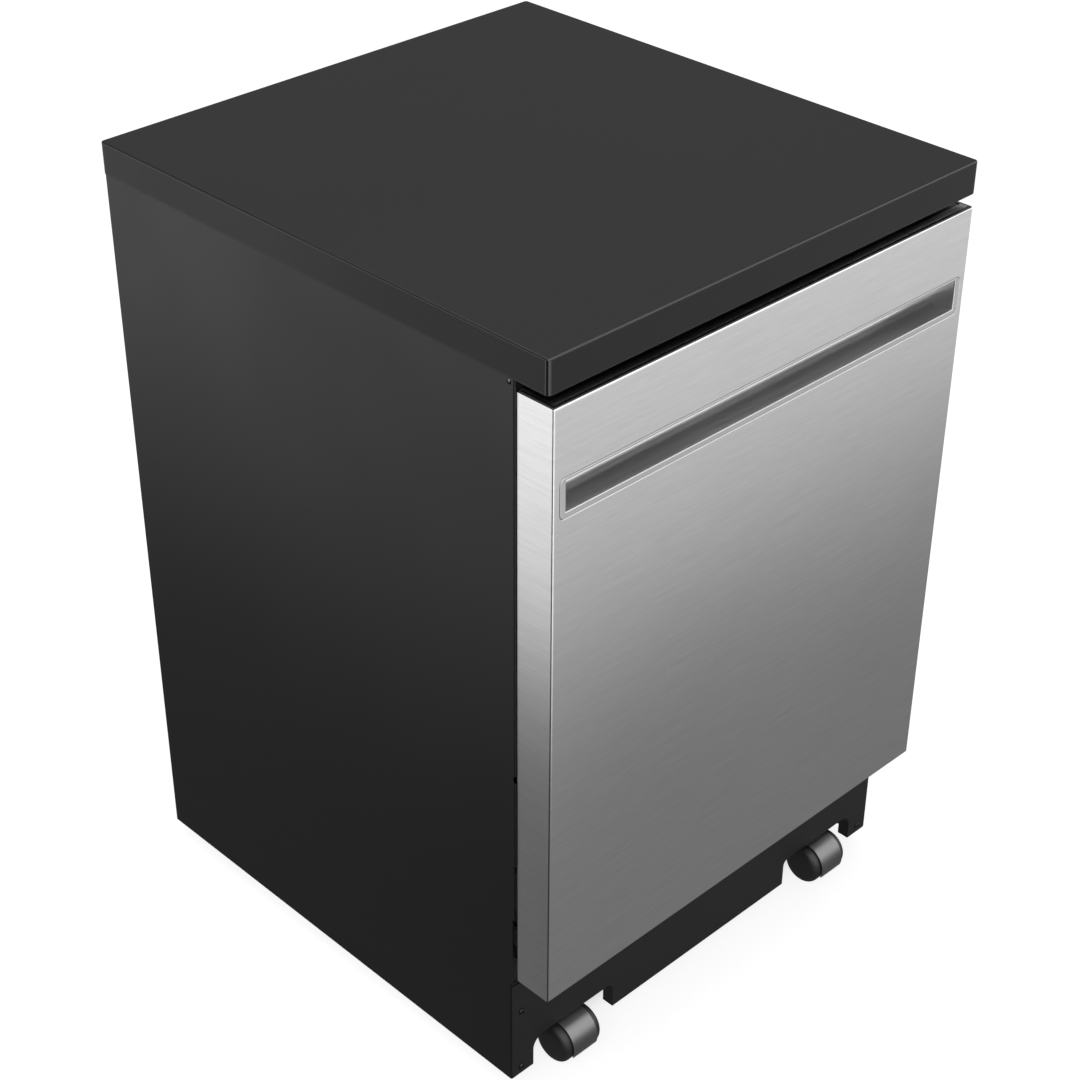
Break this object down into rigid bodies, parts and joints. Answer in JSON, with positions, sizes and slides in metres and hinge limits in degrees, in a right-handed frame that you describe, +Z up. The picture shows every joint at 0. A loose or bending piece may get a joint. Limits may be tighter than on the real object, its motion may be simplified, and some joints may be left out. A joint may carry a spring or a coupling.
{
  "type": "portable dishwasher",
  "caption": "Free-standing portable dishwasher on swivel casters with a stainless front-opening door, pocket handle, black cabinet and worktop, sliding racks and spray arms inside.",
  "frame": {"origin": "on the floor, under the middle of the whole object's box", "axes": "+X right as seen from the front, -Y the side that the door opens to, +Z up"},
  "size_m": [0.61, 0.66, 0.924],
  "materials": {
    "worktop_laminate": "satin black laminate over particle board",
    "cabinet_black": "satin black paint",
    "kick_black": "satin black paint",
    "bay_plastic": "moulded black",
    "black_rubber": "matte",
    "galvanised_steel": "galvanised sheet",
    "screw_steel": "dark zinc",
    "tub_steel": "bright rolled stainless",
    "gasket_rubber": "matte grey",
    "blanket_felt": "fibre blanket",
    "sump_plastic": "moulded",
    "filter_steel": "perforated stainless",
    "heater_steel": "heat-tinted tube",
    "grey_plastic": "moulded",
    "pump_plastic": "moulded and coated",
    "white_plastic": "moulded",
    "rail_steel": "rolled stainless",
    "stainless_steel": "fine horizontal brushed grain",
    "handle_silver": "satin silver coated moulding",
    "console_plastic": "black",
    "button_plastic": "moulded",
    "dispenser_plastic": "light grey",
    "lid_plastic": "light grey",
    "cap_plastic": "dark grey",
    "rack_nylon": "nylon coated wire",
    "basket_plastic": "moulded grey",
    "arm_plastic": "moulded grey",
    "hood_plastic": "satin grey",
    "wheel_plastic": "dark nylon"
  },
  "bodies": {
    "cabinet": {"worktop": "worktop_laminate", "side_panel_left": "cabinet_black", "side_panel_right": "cabinet_black", "rear_panel": "cabinet_black", "hose_bay": "bay_plastic", "access_panel": "cabinet_black", "rear_glands": "black_rubber", "base_pan": "galvanised_steel", "support_frame": "galvanised_steel", "kick_plate": "kick_black", "kick_screws": "screw_steel", "tub": "tub_steel", "tub_gasket": "gasket_rubber", "insulation_blanket": "blanket_felt", "sump": "sump_plastic", "coarse_filter": "filter_steel", "heating_element": "heater_steel", "feed_tube": "grey_plastic", "circulation_pump": "pump_plastic", "drain_pump": "pump_plastic", "inlet_valve": "white_plastic", "rack_brackets": "white_plastic", "latch_strike": "screw_steel", "hinge_brackets": "galvanised_steel", "door_springs": "screw_steel"},
    "door": {"door_skin": "stainless_steel", "handle_pocket": "handle_silver", "door_liner": "tub_steel", "console": "console_plastic", "hinge_arms": "galvanised_steel", "dispenser_body": "dispenser_plastic", "latch_body": "console_plastic", "door_bottom_seal": "gasket_rubber"},
    "upper_rack": {"upper_rack": "rack_nylon", "upper_rack_rails": "rail_steel", "upper_feed_pipe": "grey_plastic"},
    "lower_rack": {"lower_rack": "rack_nylon", "silverware_basket": "basket_plastic"},
    "button_1": {"button_1": "button_plastic"},
    "button_2": {"button_2": "button_plastic"},
    "button_3": {"button_3": "button_plastic"},
    "button_4": {"button_4": "button_plastic"},
    "button_5": {"button_5": "button_plastic"},
    "latch_claw": {"latch_claw": "white_plastic"},
    "dispenser_lid": {"dispenser_lid": "lid_plastic"},
    "rinse_cap": {"rinse_cap": "cap_plastic"},
    "upper_spray_arm": {"upper_spray_arm": "arm_plastic"},
    "lower_spray_arm": {"lower_spray_arm": "arm_plastic"},
    "rack_wheels_front": {"rack_wheels_front": "basket_plastic"},
    "rack_wheels_rear": {"rack_wheels_rear": "basket_plastic"},
    "fine_filter": {"fine_filter": "filter_steel"},
    "float": {"float": "white_plastic"},
    "caster_fl": {"caster_hood_fl": "hood_plastic"},
    "caster_wheels_fl": {"caster_wheels_fl": "wheel_plastic"},
    "caster_fr": {"caster_hood_fr": "hood_plastic"},
    "caster_wheels_fr": {"caster_wheels_fr": "wheel_plastic"},
    "caster_rl": {"caster_hood_rl": "hood_plastic"},
    "caster_wheels_rl": {"caster_wheels_rl": "wheel_plastic"},
    "caster_rr": {"caster_hood_rr": "hood_plastic"},
    "caster_wheels_rr": {"caster_wheels_rr": "wheel_plastic"}
  },
  "joints": [
    {"name": "door_hinge", "type": "hinge", "parent": "cabinet", "child": "door", "pos_m": [0, -0.3, 0.196], "axis": [1, 0, 0], "range_deg": [0, 90], "stiffness_Nm_per_rad": 17, "deforming": ["door_springs"]},
    {"name": "upper_rack_slide", "type": "slide", "parent": "cabinet", "child": "upper_rack", "axis": [0, -1, 0], "range_m": [0, 0.4]},
    {"name": "lower_rack_slide", "type": "slide", "parent": "cabinet", "child": "lower_rack", "axis": [0, -1, 0], "range_m": [0, 0.15]},
    {"name": "latch_claw_turn", "type": "hinge", "parent": "door", "child": "latch_claw", "pos_m": [0, -0.304, 0.8654], "axis": [-1, 0, 0], "range_deg": [0, 30]},
    {"name": "button_1_push", "type": "slide", "parent": "door", "child": "button_1", "axis": [0, 0, -1], "range_m": [0, 0.001], "stiffness_N_per_m": 400},
    {"name": "button_2_push", "type": "slide", "parent": "door", "child": "button_2", "axis": [0, 0, -1], "range_m": [0, 0.001], "stiffness_N_per_m": 400},
    {"name": "button_3_push", "type": "slide", "parent": "door", "child": "button_3", "axis": [0, 0, -1], "range_m": [0, 0.001], "stiffness_N_per_m": 400},
    {"name": "button_4_push", "type": "slide", "parent": "door", "child": "button_4", "axis": [0, 0, -1], "range_m": [0, 0.001], "stiffness_N_per_m": 400},
    {"name": "button_5_push", "type": "slide", "parent": "door", "child": "button_5", "axis": [0, 0, -1], "range_m": [0, 0.001], "stiffness_N_per_m": 400},
    {"name": "dispenser_lid_slide", "type": "slide", "parent": "door", "child": "dispenser_lid", "axis": [0, 0, -1], "range_m": [0, 0.06]},
    {"name": "rinse_cap_turn", "type": "hinge", "parent": "door", "child": "rinse_cap", "pos_m": [0.046, -0.2755, 0.53], "axis": [0, 1, 0], "range_deg": [0, 90]},
    {"name": "upper_arm_spin", "type": "hinge", "parent": "upper_rack", "child": "upper_spray_arm", "pos_m": [0, -0.0037, 0.5286], "axis": [0, 0, 1], "continuous": true},
    {"name": "lower_arm_spin", "type": "hinge", "parent": "cabinet", "child": "lower_spray_arm", "pos_m": [0, -0.0037, 0.23], "axis": [0, 0, 1], "continuous": true},
    {"name": "fine_filter_turn", "type": "hinge", "parent": "cabinet", "child": "fine_filter", "pos_m": [0.05, -0.0277, 0.19], "axis": [0, 0, 1], "range_deg": [0, 90]},
    {"name": "float_rise", "type": "slide", "parent": "cabinet", "child": "float", "axis": [0, 0, 1], "range_m": [0, 0.008]},
    {"name": "rack_wheels_front_roll", "type": "hinge", "parent": "lower_rack", "child": "rack_wheels_front", "pos_m": [0, -0.1372, 0.2313], "axis": [1, 0, 0], "continuous": true},
    {"name": "rack_wheels_rear_roll", "type": "hinge", "parent": "lower_rack", "child": "rack_wheels_rear", "pos_m": [0, 0.1428, 0.2313], "axis": [1, 0, 0], "continuous": true},
    {"name": "caster_fl_swivel", "type": "hinge", "parent": "cabinet", "child": "caster_fl", "pos_m": [-0.2127, -0.256, 0.075], "axis": [0, 0, 1], "continuous": true},
    {"name": "caster_fl_roll", "type": "hinge", "parent": "caster_fl", "child": "caster_wheels_fl", "pos_m": [-0.2127, -0.274, 0.025], "axis": [1, 0, 0], "continuous": true},
    {"name": "caster_fr_swivel", "type": "hinge", "parent": "cabinet", "child": "caster_fr", "pos_m": [0.2127, -0.256, 0.075], "axis": [0, 0, 1], "continuous": true},
    {"name": "caster_fr_roll", "type": "hinge", "parent": "caster_fr", "child": "caster_wheels_fr", "pos_m": [0.2127, -0.274, 0.025], "axis": [1, 0, 0], "continuous": true},
    {"name": "caster_rl_swivel", "type": "hinge", "parent": "cabinet", "child": "caster_rl", "pos_m": [-0.2127, 0.262, 0.075], "axis": [0, 0, 1], "continuous": true},
    {"name": "caster_rl_roll", "type": "hinge", "parent": "caster_rl", "child": "caster_wheels_rl", "pos_m": [-0.2127, 0.244, 0.025], "axis": [1, 0, 0], "continuous": true},
    {"name": "caster_rr_swivel", "type": "hinge", "parent": "cabinet", "child": "caster_rr", "pos_m": [0.2127, 0.262, 0.075], "axis": [0, 0, 1], "continuous": true},
    {"name": "caster_rr_roll", "type": "hinge", "parent": "caster_rr", "child": "caster_wheels_rr", "pos_m": [0.2127, 0.244, 0.025], "axis": [1, 0, 0], "continuous": true}
  ],
  "couplings": [
    {"joint": "upper_rack_slide", "follows": "door_hinge", "m_per_rad": 0.2546},
    {"joint": "lower_rack_slide", "follows": "door_hinge", "m_per_rad": 0.0954},
    {"joint": "latch_claw_turn", "follows": "door_hinge", "ratio": 0.3333}
  ]
}
